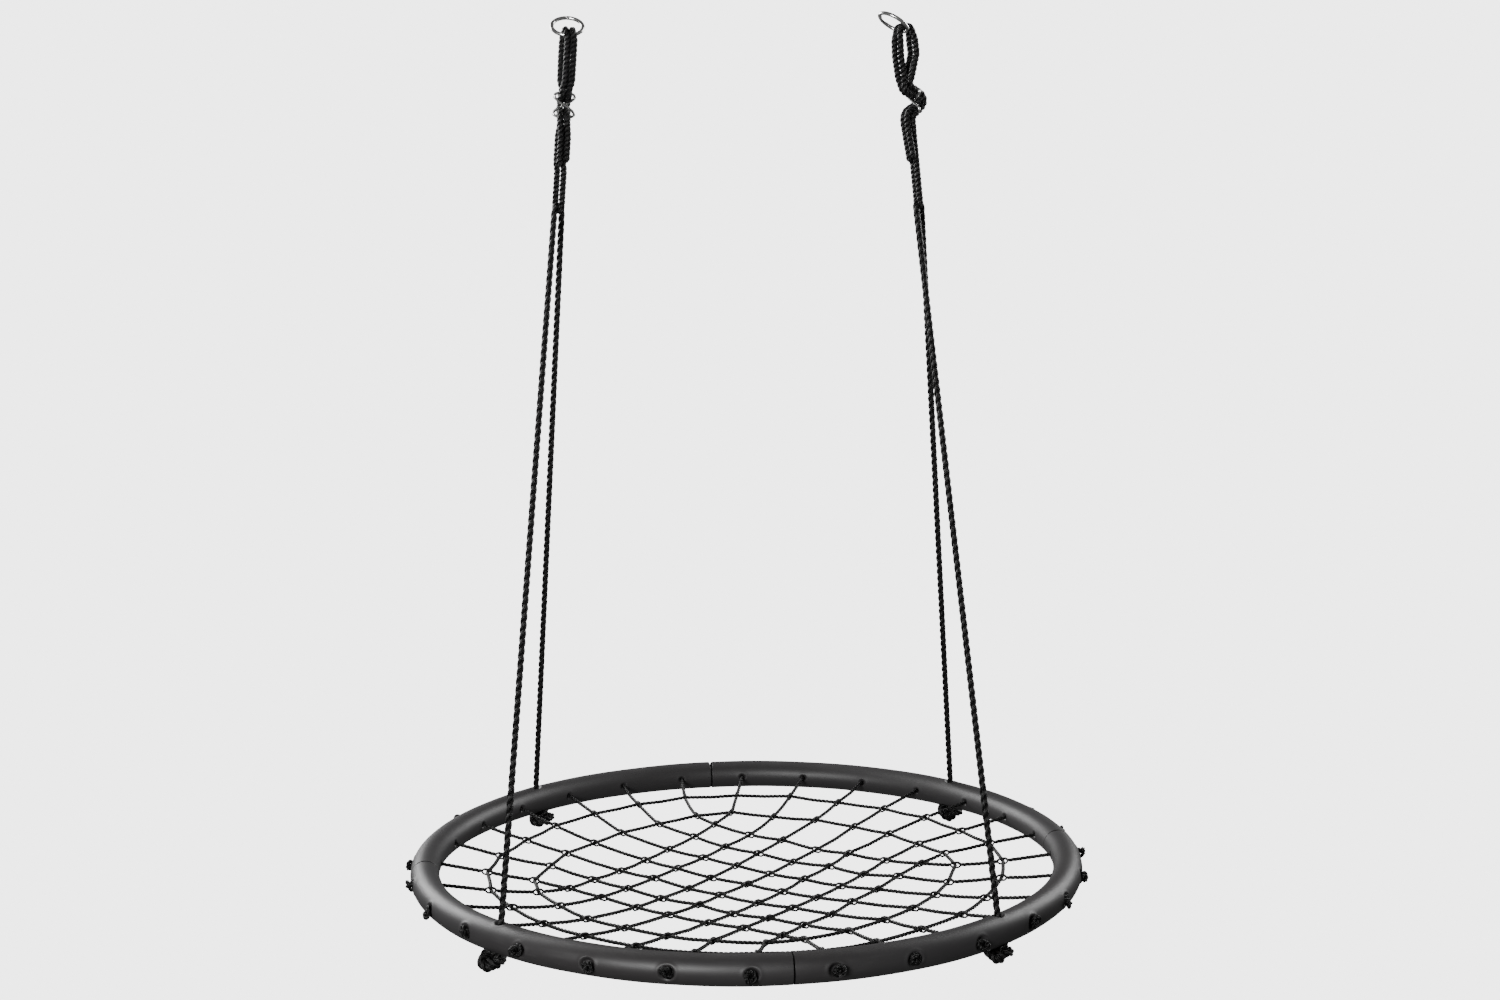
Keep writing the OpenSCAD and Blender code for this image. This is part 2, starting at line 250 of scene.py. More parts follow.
def laid_rope(mesh, path, d, pitch, phase=0.0, closed=False, start=(0, 0, 1), sides=8,
              parted=(), cut=(False, False)):
    """Three strands laid right-handed round the path. parted lists the points where the strands open
    to let another rope through; cut ends are drawn together as if melted."""
    t, u, v = carried_frames(path, start, closed)
    s = lengths(path, closed)
    total = s[-1]
    s = s[:len(path)]
    turns = 2 * math.pi / pitch
    if closed:
        turns = 2 * math.pi * round(total / pitch) / total
    shrink = np.ones(len(path))
    for end, at in zip(cut, (0.0, total)):
        if end:
            shrink *= 0.45 + 0.55 * smooth(np.abs(s - at) / (0.35 * d))
    opened = [int(np.argmin(np.linalg.norm(path - p, axis=1))) for p in parted]
    window = PART_REACH * d
    for k in range(3):
        a = phase + turns * s + 2 * math.pi * k / 3
        out = u * np.cos(a)[:, None] + v * np.sin(a)[:, None]
        off = out * (STRAND_AT * d * shrink)[:, None]
        for i in opened:
            heads = [phase + turns * s[i] + 2 * math.pi * q / 3 for q in range(3)]
            outs = [u[i] * math.cos(h) + v[i] * math.sin(h) for h in heads]
            side = unit(np.cross(t[i], [0, 0, 1]))
            up = np.cross(side, t[i])
            height = [o @ up for o in outs]
            low = int(np.argmin(height))
            if k == low:
                target = -PART_DOWN * d * up
            else:
                rest = [q for q in range(3) if q != low]
                other = rest[0] if k == rest[1] else rest[1]
                sign = 1 if outs[k] @ side > outs[other] @ side else -1
                target = PART_UP * d * up + sign * PART_SIDE * d * side
            gap = s - s[i]
            if closed:
                gap = (gap + total / 2) % total - total / 2
            w = smooth(1.5 * (1 - np.abs(gap) / window))[:, None]
            off = off * (1 - w) + target * w
        centre = path + off
        ts = tangents(centre, closed)
        e = unit(out - ts * (out * ts).sum(1, keepdims=True))
        b = np.cross(ts, e)
        ang = 2 * math.pi * np.arange(sides) / sides
        r = (STRAND_R * d * shrink)[:, None, None]
        rings = centre[:, None] + r * (e[:, None] * np.cos(ang)[None, :, None]
                                       + b[:, None] * np.sin(ang)[None, :, None])
        mesh.grid(rings, s / d, np.arange(sides) / sides, closed_rows=closed)
        if not closed:
            mesh.cap(rings[0], centre[0] - ts[0] * 0.12 * d, s[0], False)
            mesh.cap(rings[-1], centre[-1] + ts[-1] * 0.12 * d, s[-1], True)


# a knot's rounds of pulling, the spacing of its points, and how many points along it count as neighbours
PULLS, KNOT_STEP, KNOT_NEAR = 420, 0.22, 7


def tight_knot(lobes=3, big=1.35, small=0.8, pull=5.5, crop=1.3):
    """The middle line of a knot in a rope one unit thick, pulled tight, with its arms along z: three
    lobes make an overhand knot, five a double one. It starts as an open ring of lobes, and shortens
    while the rope keeps clear of itself."""
    reach = big + small
    t = np.linspace(0, 4 * math.pi, 600)
    wide = big + small * np.cos(lobes / 2 * t)
    p = np.stack([wide * np.cos(t), wide * np.sin(t), small * np.sin(lobes / 2 * t)], 1)
    way = unit([0, reach, lobes / 2 * small])
    arm = np.linspace(pull, 0.05, 40)[:, None]
    inward = np.clip((arm - 2.2) / 3.3, 0, 1) * np.array([[reach, 0, 0]])
    p = np.vstack([p[0] - arm * way - inward, p, p[-1] + (arm * way - inward)[::-1]])
    p = np.stack([p[:, 0], p @ np.cross([1, 0, 0], way), p @ way], 1)
    for k in range(PULLS):
        if k % 3 == 0:
            p = resample(p, KNOT_STEP)
        i = np.arange(len(p))
        far = np.abs(i[:, None] - i[None]) > KNOT_NEAR
        ends = p[0].copy(), p[-1].copy()
        for _ in range(8):
            p[1:-1] += 0.25 * (p[:-2] + p[2:]) - 0.5 * p[1:-1]
        for _ in range(4):
            apart = p[:, None] - p[None]
            gap = np.linalg.norm(apart, axis=2) + 1e-9
            push = np.where(far, np.maximum(1.0 - gap, 0), 0)
            count = np.maximum((push > 0).sum(1), 1)[:, None]
            p = p + 0.6 * (apart / gap[..., None] * push[..., None]).sum(1) / count
        p[0], p[-1] = ends
    inside = np.flatnonzero(np.abs(p[:, 2]) < crop)
    core = p[inside[0]:inside[-1] + 1]
    return core if core[0, 2] < core[-1, 2] else core[::-1]


# ---------------------------------------------------------------- materials
def material(name):
    m = bpy.data.materials.new(name)
    m.use_nodes = True
    return m, m.node_tree, m.node_tree.nodes["Principled BSDF"]


def node(tree, kind, **sockets):
    n = tree.nodes.new(kind)
    for key, value in sockets.items():
        if key in n.inputs:
            n.inputs[key].default_value = value
        else:
            setattr(n, key, value)
    return n


def maths(tree, op, a, b=None, c=None, clamp=False):
    n = tree.nodes.new("ShaderNodeMath")
    n.operation, n.use_clamp = op, clamp
    for i, x in enumerate((a, b, c)):
        if x is None:
            continue
        if isinstance(x, (int, float)):
            n.inputs[i].default_value = x
        else:
            tree.links.new(x, n.inputs[i])
    return n.outputs[0]


def ramp(tree, factor, stops):
    n = tree.nodes.new("ShaderNodeValToRGB")
    tree.links.new(factor, n.inputs[0])
    while len(n.color_ramp.elements) < len(stops):
        n.color_ramp.elements.new(0.5)
    for element, (at, colour) in zip(n.color_ramp.elements, stops):
        element.position = at
        element.color = (*colour, 1)
    return n.outputs[0]


def noise(tree, vector, scale, detail=3, rough=0.55):
    n = node(tree, "ShaderNodeTexNoise", Scale=scale, Detail=detail, Roughness=rough)
    tree.links.new(vector, n.inputs["Vector"])
    return n.outputs["Fac"]


def run_and_turn(tree):
    """The two coordinates that each Mesh carries: along the piece, and round it."""
    uv = node(tree, "ShaderNodeUVMap")
    uv.uv_map = "run"
    parts = node(tree, "ShaderNodeSeparateXYZ")
    tree.links.new(uv.outputs[0], parts.inputs[0])
    return parts.outputs[0], parts.outputs[1]


def stretched(tree, vector, scale):
    n = node(tree, "ShaderNodeMapping")
    n.inputs["Scale"].default_value = scale
    tree.links.new(vector, n.inputs["Vector"])
    return n.outputs["Vector"]


def bump(tree, height, distance, strength=1.0, normal=None):
    n = node(tree, "ShaderNodeBump", Distance=distance, Strength=strength)
    tree.links.new(height, n.inputs["Height"])
    if normal is not None:
        tree.links.new(normal, n.inputs["Normal"])
    return n.outputs["Normal"]


def rope_material(name, d, pitch, dark, light, yarns=9, rough=0.36):
    """Laid rope: yarns cross each strand nearly in line with the rope, with loose fibres between them, and
    painted highlight and painted shade across the strands.
    """
    m, tree, bsdf = material(name)
    run, turn = run_and_turn(tree)
    lean = STRAND_AT / STRAND_R * d / pitch
    position = maths(tree, "ADD", maths(tree, "MULTIPLY", turn, yarns),
                     maths(tree, "MULTIPLY", run, yarns * lean))
    wave = maths(tree, "SINE", maths(tree, "MULTIPLY", position, 2 * math.pi))
    yarn = maths(tree, "MULTIPLY_ADD", wave, 0.5, 0.5)
    where = node(tree, "ShaderNodeTexCoord").outputs["Object"]
    fibre_at = node(tree, "ShaderNodeCombineXYZ")
    tree.links.new(maths(tree, "MULTIPLY", run, 1.2), fibre_at.inputs[0])
    tree.links.new(maths(tree, "MULTIPLY", position, 1.7), fibre_at.inputs[1])
    fibre = noise(tree, fibre_at.outputs[0], 2.4, 4, 0.65)
    fuzz = noise(tree, where, 2600 * 6 / d, 2, 0.6)
    patch = noise(tree, where, 16, 3, 0.6)
    shade = maths(tree, "ADD", maths(tree, "MULTIPLY", yarn, 0.30),
                  maths(tree, "MULTIPLY", fibre, 0.55))
    shade = maths(tree, "ADD", shade, maths(tree, "MULTIPLY", patch, 0.30))
    # painted light: the back of each strand, where it faces out, is given a painted highlight, and its sides
    # down in the grooves are given painted shade
    back = maths(tree, "COSINE", maths(tree, "MULTIPLY", turn, 2 * math.pi))
    ridge_light_groove_shade = maths(tree, "MULTIPLY_ADD", back, 2.0, -1.0, clamp=True)
    shade = maths(tree, "ADD", shade, maths(tree, "MULTIPLY_ADD", ridge_light_groove_shade, 0.50, -0.44))
    # the ramp's dark end is the painted groove shade as well as the rope's darkest tone, and its light end is
    # the painted highlight as well as its lightest tone
    colour = ramp(tree, shade, [(0.25, dark), (0.62, [(a + b) / 2 for a, b in zip(dark, light)]),
                                (0.95, light)])
    tree.links.new(colour, bsdf.inputs["Base Color"])
    gloss = ramp(tree, fibre, [(0.3, (rough - 0.07,) * 3), (0.75, (rough + 0.16,) * 3)])
    tree.links.new(gloss, bsdf.inputs["Roughness"])
    coarse = bump(tree, yarn, 0.00009 * d, 0.8)
    fine = bump(tree, maths(tree, "ADD", fibre, maths(tree, "MULTIPLY", fuzz, 0.4)),
                0.00005 * d, 0.7, coarse)
    tree.links.new(fine, bsdf.inputs["Normal"])
    bsdf.inputs["Specular IOR Level"].default_value = 0.33
    bsdf.inputs["Sheen Weight"].default_value = 0.01
    bsdf.inputs["Sheen Roughness"].default_value = 0.45
    return m


def foam_material():
    """Closed-cell foam with a smooth moulded skin: faint cells, long rubbed patches, dusty scuffs, and
    painted shade in the seams.
    """
    m, tree, bsdf = material("foam_skin")
    where = node(tree, "ShaderNodeTexCoord").outputs["Object"]
    broad = noise(tree, where, 3.2, 2, 0.5)
    cells = node(tree, "ShaderNodeTexVoronoi", Scale=900.0)
    tree.links.new(where, cells.inputs["Vector"])
    grain = noise(tree, where, 1500, 3, 0.6)
    scuff = noise(tree, stretched(tree, where, (1.0, 1.0, 6.0)), 26, 5, 0.7)
    wear = ramp(tree, scuff, [(0.52, (0, 0, 0)), (0.78, (1, 1, 1))])
    base = ramp(tree, broad, [(0.30, (0.026, 0.024, 0.0245)), (0.70, (0.034, 0.033, 0.0345))])
    mix = node(tree, "ShaderNodeMix", data_type="RGBA")
    tree.links.new(maths(tree, "MULTIPLY", wear, 0.35), mix.inputs["Factor"])
    tree.links.new(base, mix.inputs[6])
    mix.inputs[7].default_value = (0.050, 0.048, 0.048, 1)
    # painted shade at the cut ends of each sleeve, where two meet: the seam's colour is darkened and its
    # reflection taken away; run is the distance along the sleeve
    run, _ = run_and_turn(tree)
    to_end = maths(tree, "MINIMUM", run, maths(tree, "SUBTRACT", SLEEVE_RUN, run))
    clear_of_seam_shade = maths(tree, "MULTIPLY_ADD", to_end, 0.9, -0.35, clamp=True)
    seam_shade_mix = node(tree, "ShaderNodeMix", data_type="RGBA")
    tree.links.new(clear_of_seam_shade, seam_shade_mix.inputs["Factor"])
    # the colour of the painted seam shade
    seam_shade_mix.inputs[6].default_value = (0.0015, 0.0015, 0.0015, 1)
    tree.links.new(mix.outputs[2], seam_shade_mix.inputs[7])
    tree.links.new(seam_shade_mix.outputs[2], bsdf.inputs["Base Color"])
    tree.links.new(maths(tree, "MULTIPLY", clear_of_seam_shade, 0.5), bsdf.inputs["Specular IOR Level"])
    gloss = maths(tree, "MULTIPLY_ADD", scuff, 0.16, 0.41)
    tree.links.new(gloss, bsdf.inputs["Roughness"])
    slow = bump(tree, noise(tree, where, 45, 2, 0.5), 0.0006, 0.25)
    skin = bump(tree, maths(tree, "ADD", cells.outputs["Distance"],
                            maths(tree, "MULTIPLY", grain, 0.7)), 0.00012, 0.35, slow)
    tree.links.new(skin, bsdf.inputs["Normal"])
    return m


def metal_material(name, colour, rough, scratch, dull=0.15):
    m, tree, bsdf = material(name)
    where = node(tree, "ShaderNodeTexCoord").outputs["Object"]
    cloud = noise(tree, where, 90, 4, 0.6)
    lines = noise(tree, stretched(tree, where, (1, 1, 0.12)), 1400, 3, 0.7)
    dark = [c * (1 - dull) for c in colour]
    tree.links.new(ramp(tree, cloud, [(0.35, dark), (0.6, colour)]), bsdf.inputs["Base Color"])
    gloss = maths(tree, "ADD", maths(tree, "MULTIPLY", cloud, 0.18),
                  maths(tree, "MULTIPLY_ADD", lines, 0.10, rough - 0.12))
    tree.links.new(gloss, bsdf.inputs["Roughness"])
    tree.links.new(bump(tree, lines, scratch, 0.3), bsdf.inputs["Normal"])
    bsdf.inputs["Metallic"].default_value = 1.0
    return m


# the ropes' darkest tone, which is also the painted shade in the grooves between strands
DARK_AND_GROOVE_SHADE = (0.0006, 0.0006, 0.0007)
mats = {
    "net": rope_material("net_rope", NET_D, NET_PITCH, DARK_AND_GROOVE_SHADE, (0.024, 0.0235, 0.0235)),
    "main": rope_material("main_rope", MAIN_D, MAIN_PITCH, DARK_AND_GROOVE_SHADE, (0.036, 0.035, 0.0345)),
    "sling": rope_material("sling_rope", SLING_D, SLING_PITCH, DARK_AND_GROOVE_SHADE, (0.030, 0.029, 0.0293)),
    "foam": foam_material(),
    "wire": metal_material("bright_wire", (0.83, 0.83, 0.82), 0.20, 0.00003),
    "tube": metal_material("tube_steel", (0.60, 0.60, 0.61), 0.38, 0.00006),
}


def finish_with(obj, mat):
    obj.data.materials.clear()
    obj.data.materials.append(mats[mat])


# ---------------------------------------------------------------- camera
VIEW_FROM = (-0.039, -3.537, -0.107)
PAN, TILT, ROLL = math.radians(0.82), math.radians(-9.08), math.radians(-0.65)
ahead = Vector((math.sin(PAN) * math.cos(TILT), math.cos(PAN) * math.cos(TILT), math.sin(TILT)))
cam_data = bpy.data.cameras.new("camera")
cam_data.sensor_width = 36
cam_data.lens = 58.65
cam = bpy.data.objects.new("camera", cam_data)
bpy.context.scene.collection.objects.link(cam)
upright = ahead.to_track_quat("-Z", "Y")
cam.rotation_euler = (upright @ Matrix.Rotation(ROLL, 3, "Z").to_quaternion()).to_euler()
cam.location = VIEW_FROM
bpy.context.scene.camera = cam


# ---------------------------------------------------------------- side frames
def side_matrix(s):
    """Leaning frame of one side as in the CAD: x across, y front to back, z down the ropes."""
    r = np.array(Matrix.Rotation(-s * LEAN, 3, "Y"))
    return r, np.array([s * HANG_SPACING / 2, 0, 0])


def to_side(s, path):
    r, o = side_matrix(s)
    return np.asarray(path) @ r.T + o


def turned(path, degrees):
    a = math.radians(degrees)
    p = np.asarray(path, float)
    out = p.copy()
    out[..., 0] = p[..., 0] * math.cos(a) - p[..., 1] * math.sin(a)
    out[..., 1] = p[..., 0] * math.sin(a) + p[..., 1] * math.cos(a)
    return out


def arc(r, start, end, steps, plane):
    """Points on an arc from angle start to end, measured from +z: plane is x or y."""
    a = np.radians(np.linspace(start, end, steps + 1))
    p = np.zeros((steps + 1, 3))
    p[:, "xy".index(plane)] = r * np.sin(a)
    p[:, 2] = r * np.cos(a)
    return p


# ---------------------------------------------------------------- main ropes
# the legs run on this far below the ends of the CAD's ropes, into the holes in the foam
INTO_HOLE = 18
ropes = {}
for s in (-1, 1):
    link, end_z = along(LINK_DROP), along(ROPE_END_DROP + INTO_HOLE)
    bight = turned(arc(SNUG_R, -88, 88, 24, "y"), BIGHT_TURN[s]) + [0, 0, -link - SNUG_R]
    path = np.vstack([[[0, -HOLE_XY, -end_z]], bight, [[0, HOLE_XY, -end_z]]])
    path = to_side(s, soften(path, 2.0, 7))
    rope = Mesh()
    laid_rope(rope, path, MAIN_D, MAIN_PITCH, phase=0.4 * s, start=(1, 0, 0), sides=10)
    obj = rope.make("main_rope_" + SIDE[s] + "_strands")
    finish_with(obj, "main")
    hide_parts("main_rope_" + SIDE[s])
    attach(obj, "rope_" + SIDE[s])
    ropes[s] = (obj, path)

# ---------------------------------------------------------------- slings
# the doubled sling's middle line through the adjuster, as (y, z), from above it to its middle
S_BEND = [(-6.2, 30), (-6.2, 23), (-3, 17), (7, 11.8), (16, 6.5), (18.5, 0)]
# how much closer the adjuster presses the two layers, and how far from its middle that reaches
SQUEEZE, SQUEEZE_REACH = 0.30, 18
# the heights between which the layers fan out and the strands spread, above the adjuster
FAN_BETWEEN, SPREAD_BETWEEN = (-78, 9), (-76, 0)
# how far each layer is moved aside below the adjuster, as a share of the fan above it
FAN_BELOW = 0.3


def adjuster_bend():
    """Middle line of the doubled sling through the adjuster, from below it to above, as (y, z)."""
    half = np.array(S_BEND)
    return np.vstack([half * [1, -1], half[::-1][1:]])


def layer(offset, upward):
    """One layer of the sling beside that middle line: offset towards the legs' side is positive."""
    mid = adjuster_bend()
    mid3 = np.c_[np.zeros(len(mid)), mid]
    mid3 = soften(mid3, 1.0, 5)
    t = tangents(mid3)
    n = np.c_[np.zeros(len(t)), t[:, 2], -t[:, 1]]
    squeeze = 1 - SQUEEZE * smooth(1.4 * (1 - np.abs(mid3[:, 2]) / SQUEEZE_REACH))
    out = mid3 + n * (offset * squeeze)[:, None]
    return out if upward else out[::-1]


def swell(z, low, high, gain):
    """0 at the heights low and high, and 1 in the middle between them."""
    return smooth(gain * np.sin(np.pi * np.clip((z - low) / (high - low), 0, 1)))


for s in (-1, 1):
    turn = TURN[s]
    name = SIDE[s]
    adj = np.array([0, 0, -along(ADJ_DROP)])
    shoulder, belly, low_z = SPLAY[s]
    strands = []
    for side in (-1, 1):
        x = side * SLING_D / 2
        up = layer(SLING_D / 2, True) + adj
        down = layer(-SLING_D / 2, False) + adj
        top = np.vstack([
            [[0, HANG_BEND_R + belly, low_z], [0, HANG_BEND_R + shoulder, -10]],
            arc(HANG_BEND_R, 90, -90, 16, "y") * [1, 1 + 0.6 * shoulder / HANG_BEND_R, 1],
            [[0, -HANG_BEND_R - shoulder - 0.4, -10], [0, -HANG_BEND_R - belly - 0.8, low_z - 2]]])
        tail = np.array([[TUCK[s], ADJ_Y - LAYER_OUT - 0.3 + 0.1 * TUCK[s],
                          -along(TAIL_DROP) + (4 if side > 0 else -1)]])
        mid = np.vstack([up[:-4], top, down[4:], tail])
        mid[:, 0] += x
        mid = soften(mid, 1.25, 4)
        # the back layer shows beside the front one above the adjuster
        back = np.where(np.arange(len(mid)) < np.argmax(mid[:, 2]), 0.5, -0.5)
        mid[:, 0] += FAN[s] * back * swell(mid[:, 2], *FAN_BETWEEN, 1.8)
        mid[:, 1] += SPREAD[s] * side * swell(mid[:, 2], *SPREAD_BETWEEN, 1.8)
        # the tails keep to that side, from 22 mm below the adjuster's middle and in full 25 mm lower
        low = (-along(ADJ_DROP) - 22 - mid[:, 2]) / 25
        mid[:, 0] -= FAN_BELOW * FAN[s] * smooth(low) * (back < 0)
        strands.append(to_side(s, turned(mid, turn)))
    # legs: both strands go on down from the adjuster and round the bight that holds the main rope
    link = along(LINK_DROP)
    open_at = along(TAIL_DROP) + 4
    shift = turned(np.array([[0.0, ADJ_Y - LAYER_IN, 0.0]]), turn)[0]
    top_z = -along(ADJ_DROP) - 30
    legs = []
    for side in (1, -1):
        at = turned(np.array([[side * SLING_D / 2, 0.0, 0.0]]), turn)[0] + shift
        low = turned(np.array([[side * SNUG_R * 0.98, 0.0, 0.0]]), LINK_TURN[s])[0]
        legs.append(np.array([at + [0, 0, top_z], at + [0, 0, -open_at + 34],
                              at * 0.45 + low * 0.55 + [0, 0, -open_at], low + [0, 0, -link + 9]]))
    bight = turned(arc(SNUG_R, 90, 270, 20, "x"), LINK_TURN[s]) + [0, 0, -link]
    path = np.vstack([legs[0], bight, legs[1][::-1]])
    path = soften(path, 1.25, 5)
    path[:, 0] += FAN_BELOW * FAN[s] * swell(path[:, 2], -along(TAIL_DROP) - 10, top_z, 1.5)
    leg_path = to_side(s, path)
    rope = Mesh()
    laid_rope(rope, leg_path, SLING_D, SLING_PITCH, start=(0, 1, 0), sides=10)
    legs_obj = rope.make("sling_legs_" + name + "_strands")
    finish_with(legs_obj, "sling")
    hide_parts("sling_legs_" + name)
    r, o = side_matrix(s)
    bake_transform(legs_obj)
    for side, path in zip((1, 2), strands):
        rope = Mesh()
        laid_rope(rope, path, SLING_D, SLING_PITCH, phase=1.1 * side, start=(0, 1, 0), sides=10,
                  cut=(False, True))
        obj = rope.make(f"sling_upper_{name}_{side}")
        finish_with(obj, "sling")
        if side == 1:
            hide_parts("sling_loop_" + name, "sling_weave_" + name)
        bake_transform(obj)

# ---------------------------------------------------------------- knots
OVERHAND = tight_knot()
DOUBLE = tight_knot(5, 1.6, 0.9, 6.0, 1.5)


def knot_path(knot, size, stretch, below, above):
    """The tight knot in millimetres, with its upper arm on the z axis. The arms run on by below and above."""
    p = knot * np.array(stretch) * size
    p = p - [p[-1, 0], p[-1, 1], 0]
    low = p[0] - [0, 0, below]
    high = p[-1] + [0, 0, above]
    return soften(np.vstack([low, p, high]), 0.13 * size, 0.35 * size)


# ---------------------------------------------------------------- net
def rot2(p, degrees):
    return turned(np.array([p[0], p[1], 0.0]), degrees)


# the crossings drift only inside this radius
EVEN_FROM = 430
# a run is straight if its middle is beyond this radius, or if it is shorter than this; the middle of any
# other is moved to one side and down, by up to these shares of the run's length
SLACK_TO, SLACK_SPAN = 420, 30
SLACK_SIDE, SLACK_DOWN = 0.016, 0.012


def sag_at(p):
    return -SAG * (1 - (math.hypot(p[0], p[1]) / NET_HOLE_AT) ** 2)


def loosened(p):
    """Knotted nets are never quite even: a small drift of each crossing, the same for every rope there."""
    x, y = p[0], p[1]
    fade = min(1.0, max(0.0, (EVEN_FROM - math.hypot(x, y)) / 60))
    dx = 2.0 * math.sin(x / 23 + y / 41 + 0.7) + 1.2 * math.sin(y / 17 - x / 61)
    dy = 2.0 * math.sin(y / 26 - x / 37 + 1.9) + 1.2 * math.cos(x / 19 + y / 53)
    dz = 1.5 * math.sin(x / 31 - y / 29)
    return np.array([x + dx * fade, y + dy * fade, sag_at(p) + dz * fade])


def polar(r, a):
    return np.array([r * math.cos(math.radians(a)), r * math.sin(math.radians(a)), 0.0])


def quarter_of(i):
    """Which side of the grid hole i belongs to: each side has seven."""
    return (i - 1) // 7


def place_of(i):
    return (i - 1) % 7


def grid_point(u, v, q):
    """The crossing that is u and v steps from the middle, as seen from side q of the grid."""
    return rot2((u * GRID_PITCH, v * GRID_PITCH), SEAM + NET_TWIST - 45 + 90 * q)


def off_middle(i):
    """How far rope i is from the middle of its side, from -1 to 1."""
    return (place_of(i) - 3) / 3


def outer_node(i):
    return polar(OUTER_R + OUTER_SWELL * off_middle(i) ** 2, HOLE_STEP * i + OUTER_TWIST)


def inner_node(i):
    f = off_middle(i)
    return polar(INNER_R + INNER_SWELL * f * f, HOLE_STEP * i + INNER_TWIST + INNER_PINCH * f)


SEAT = np.array([0, 0, -SEAT_DROP])


def with_slack(points, closed=False):
    """Adds a point in the middle of each run, hung a little below the straight line and to one side."""
    out = []
    n = len(points)
    for i in range(n if closed else n - 1):
        a, b = points[i], points[(i + 1) % n]
        out.append(a)
        span = np.linalg.norm(b - a)
        m = 0.5 * (a + b)
        if span > SLACK_SPAN and math.hypot(*m[:2]) < SLACK_TO:
            side = unit(np.cross(b - a, [0, 0, 1])) * SLACK_SIDE * span * math.sin(m[0] / 13 + m[1] / 17)
            out.append(m + side - [0, 0, SLACK_DOWN * span])
    if not closed:
        out.append(points[-1])
    return out


def net_rope_path(i, j):
    """The points of the rope from hole i to hole j, its grid crossings, and where a ring rope parts it."""
    q = quarter_of(i)
    u = 3 - place_of(i)
    grid = [grid_point(u, v, q) for v in range(3, -4, -1)]
    ends = {}
    for h in (i, j):
        hole = polar(NET_HOLE_AT, HOLE_STEP * h)
        out = polar(RING_R + FOAM_R - 3, HOLE_STEP * h)
        ends[h] = [out, hole, loosened(outer_node(h)), loosened(inner_node(h))]
    pts = ends[i] + [loosened(g) for g in grid] + ends[j][::-1]
    parted = [loosened(outer_node(i)), loosened(inner_node(i)),
              loosened(outer_node(j)), loosened(inner_node(j))]
    return pts, grid, parted


# ropes a1 to a7 join holes 1 to 7 with holes 21 to 15, and b1 to b7 join holes 8 to 14 with holes 28 to 22
for kind, below, total in (("a", 0, 22), ("b", 7, 29)):
    for m in range(1, 8):
        i, j = below + m, total - m
        pts, grid, parted = net_rope_path(i, j)
        # at the crossings the ropes part for each other by turns
        for g in grid:
            step = int(round((g @ grid_point(1, 0, 0) + g @ grid_point(0, 1, 0)) / GRID_PITCH ** 2))
            if (step % 2 == 0) == (kind == "a"):
                parted.append(loosened(g))
        path = soften(with_slack(pts), 1.6, 6) + SEAT
        rope = Mesh()
        laid_rope(rope, path, NET_D, NET_PITCH, phase=0.9 * m + (kind == "b"), sides=8,
                  parted=[p + SEAT for p in parted])
        obj = rope.make(f"net_rope_{kind}{m}_strands")
        finish_with(obj, "net")
        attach(obj, "seat")
        knots = Mesh()
        for h in (i, j):
            # the upper arm goes back into the hole, so the knot is turned over
            p = knot_path(OVERHAND, NET_D, (1.0, 1.0, 0.8), 0.6, 10.0) * [1, -1, -1]
            p = turned(p, 137.5 * h)
            # arms along the ring's radius, the free end outwards
            a = math.radians(HOLE_STEP * h)
            radial = np.array([math.cos(a), math.sin(a), 0])
            tangent = np.array([-math.sin(a), math.cos(a), 0])
            middle = KNOT_SEAT + 7.4
            q = p[:, [0]] * tangent + p[:, [1]] * np.array([0, 0, 1.0]) + (p[:, [2]] + middle) * radial
            laid_rope(knots, q + SEAT, NET_D, NET_PITCH * 0.9, phase=h, start=tangent, sides=8,
                      cut=(True, False))
        knot_obj = knots.make(f"net_knots_{kind}{m}")
        finish_with(knot_obj, "net")
        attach(knot_obj, "seat")
        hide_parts(f"net_rope_{kind}{m}")

for name, place in (("outer", outer_node), ("inner", inner_node)):
    pts = [loosened(place(i)) for i in range(1, HOLES + 1)]
    path = soften(with_slack(pts, True), 1.6, 6, True) + SEAT
    rope = Mesh()
    laid_rope(rope, path, NET_D, NET_PITCH, closed=True, sides=8)
    obj = rope.make(f"net_ring_rope_{name}_strands")
    finish_with(obj, "net")
    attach(obj, "seat")
    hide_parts(f"net_ring_rope_{name}")
    ring = np.vstack([path, path[:1]])

# ---------------------------------------------------------------- stopper knots
# each knot's turn about the rope, and how far in x and y it sits from the middle of its hole
STOPPER_TURN = (8, -14, -4, 12)
STOPPER_AWAY = ((9, 0), (14, 0), (-7, -2), (10, 0))
for k in range(4):
    a = 45 + 90 * k
    p = turned(knot_path(DOUBLE, MAIN_D, (1.0, 1.0, 0.92), 0.5, FOAM_R), STOPPER_TURN[k])
    path = p + polar(RING_R, a) + SEAT + [*STOPPER_AWAY[k], -FOAM_R - 9.5]
    rope = Mesh()
    laid_rope(rope, path, MAIN_D * 1.13, MAIN_PITCH * 0.85, phase=k, start=(1, 0, 0), sides=10,
              cut=(True, False))
    obj = rope.make(f"stopper_knot_{k + 1}_strands")
    finish_with(obj, "main")
    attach(obj, "seat")
    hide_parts(f"stopper_knot_{k + 1}")
for s, which in ((-1, (1, 2)), (1, (0, 3))):
    obj, path = ropes[s]


